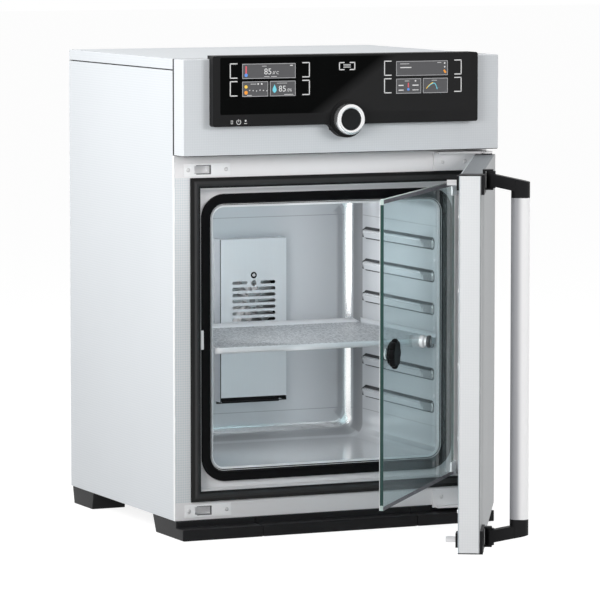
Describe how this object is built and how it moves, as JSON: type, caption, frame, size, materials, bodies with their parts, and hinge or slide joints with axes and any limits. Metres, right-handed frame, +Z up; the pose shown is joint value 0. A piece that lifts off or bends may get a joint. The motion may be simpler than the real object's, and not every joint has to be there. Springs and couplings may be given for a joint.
{
  "type": "laboratory incubator",
  "caption": "Bench-top laboratory incubator with a steel chamber, fan, tray, inner glass door and latched outer door with a bar handle, set open, and a dial-operated control panel.",
  "frame": {"origin": "on the floor, in the middle of the cabinet's width, below the plane of the front frame", "axes": "+X to the right seen from the front, +Y to the back, +Z up; both doors are hinged on the right and rest open"},
  "size_m": [0.5644, 0.9796, 0.78],
  "materials": {
    "casing": "fine linen-patterned stainless sheet",
    "back_steel": "plain grey zinc-coated sheet",
    "frame_paint": "smooth light grey",
    "seal_rubber": "matt black",
    "chamber_steel": "brushed stainless",
    "wool": "mineral wool",
    "mat": "silicone heater mat",
    "bright_steel": "satin steel",
    "screws": "satin steel",
    "chrome": "polished",
    "motor_metal": "grey",
    "bezel_plastic": "fine grained dark grey",
    "panel_gloss": "glossy black",
    "display": "dark grey screen",
    "board": "green board",
    "sensor_plastic": "grey",
    "black_plastic": "black, fine grain",
    "bar_aluminium": "satin anodised",
    "pane": "clear, faint green tint"
  },
  "bodies": {
    "cabinet": {"left_side_panel": "casing", "right_side_panel": "casing", "rear_panel": "back_steel", "top_cover": "casing", "base_pan": "back_steel", "front_frame": "frame_paint", "inner_frame": "frame_paint", "outer_seal": "seal_rubber", "inner_seal": "seal_rubber", "inner_chamber": "chamber_steel", "chamber_back": "chamber_steel", "wall_beads": "chamber_steel", "insulation": "wool", "heater_mats": "mat", "fan_cover": "chamber_steel", "fan_cover_screw": "screws", "fan_motor": "motor_metal", "temperature_probe": "bright_steel", "humidity_sensor": "sensor_plastic", "steam_generator": "motor_metal", "fascia": "casing", "control_bezel": "bezel_plastic", "control_glass": "panel_gloss", "displays": "display", "control_board": "board", "power_supply": "motor_metal", "dial_encoder": "motor_metal", "upper_latch_keeper": "bright_steel", "lower_latch_keeper": "bright_steel", "upper_hinge_bracket": "bright_steel", "lower_hinge_bracket": "bright_steel", "frame_screws": "screws", "glass_hinge_brackets": "bright_steel", "glass_latch_strike": "bright_steel", "left_front_foot": "black_plastic", "right_front_foot": "black_plastic", "plinth_bar": "black_plastic", "rear_feet": "black_plastic", "power_inlet": "black_plastic"},
    "outer_door": {"door_shell": "casing", "door_inner_panel": "chamber_steel", "door_insulation": "wool", "door_panel_screws": "screws", "door_bushes": "black_plastic", "upper_corner_block": "black_plastic", "lower_corner_block": "black_plastic"},
    "handle": {"handle_bar": "bar_aluminium", "upper_handle_arm": "black_plastic", "lower_handle_arm": "black_plastic"},
    "latch": {"latch_pins": "bright_steel"},
    "glass_door": {"glass_pane": "pane", "glass_clamps": "bright_steel", "glass_bumper": "chrome", "glass_knob_bush": "chrome"},
    "glass_latch": {"glass_knob": "black_plastic", "glass_latch_tongue": "bright_steel"},
    "shelf_tray": {"shelf": "chamber_steel"},
    "dial": {"dial_ring": "chrome"},
    "confirm_button": {"confirm_key": "panel_gloss"},
    "fan": {"fan_wheel": "bright_steel"}
  },
  "joints": [
    {"name": "outer_door_hinge", "type": "hinge", "parent": "cabinet", "child": "outer_door", "pos_m": [0.2667, -0.0276, 0.32], "axis": [0, 0, 1], "range_deg": [-61, 49]},
    {"name": "glass_door_hinge", "type": "hinge", "parent": "cabinet", "child": "glass_door", "pos_m": [0.2265, 0.0142, 0.32], "axis": [0, 0, 1], "range_deg": [-49.5, 39.76]},
    {"name": "handle_turn", "type": "hinge", "parent": "outer_door", "child": "handle", "pos_m": [0.05, -0.47196, 0.32], "axis": [0, 0, 1], "range_deg": [0, 45]},
    {"name": "latch_turn", "type": "hinge", "parent": "outer_door", "child": "latch", "pos_m": [0.01545, -0.45281, 0.32], "axis": [0, 0, 1], "range_deg": [0, 15]},
    {"name": "glass_knob_turn", "type": "hinge", "parent": "glass_door", "child": "glass_latch", "pos_m": [-0.04529, -0.30403, 0.3204], "axis": [-0.7604, 0.6494, 0], "range_deg": [0, 180]},
    {"name": "shelf_slide", "type": "slide", "parent": "cabinet", "child": "shelf_tray", "axis": [0, -1, 0], "range_m": [0, 0.035]},
    {"name": "dial_turn", "type": "hinge", "parent": "cabinet", "child": "dial", "pos_m": [0, -0.055, 0.6752], "axis": [0, -1, 0], "continuous": true},
    {"name": "confirm_press", "type": "slide", "parent": "cabinet", "child": "confirm_button", "axis": [0, 1, 0], "range_m": [0, 0.0015], "stiffness_N_per_m": 400},
    {"name": "fan_spin", "type": "hinge", "parent": "cabinet", "child": "fan", "pos_m": [0, 0.34, 0.3474], "axis": [0, 1, 0], "continuous": true}
  ],
  "couplings": [
    {"joint": "glass_door_hinge", "follows": "outer_door_hinge", "ratio": 0.81148},
    {"joint": "latch_turn", "follows": "handle_turn", "ratio": 0.33333}
  ]
}
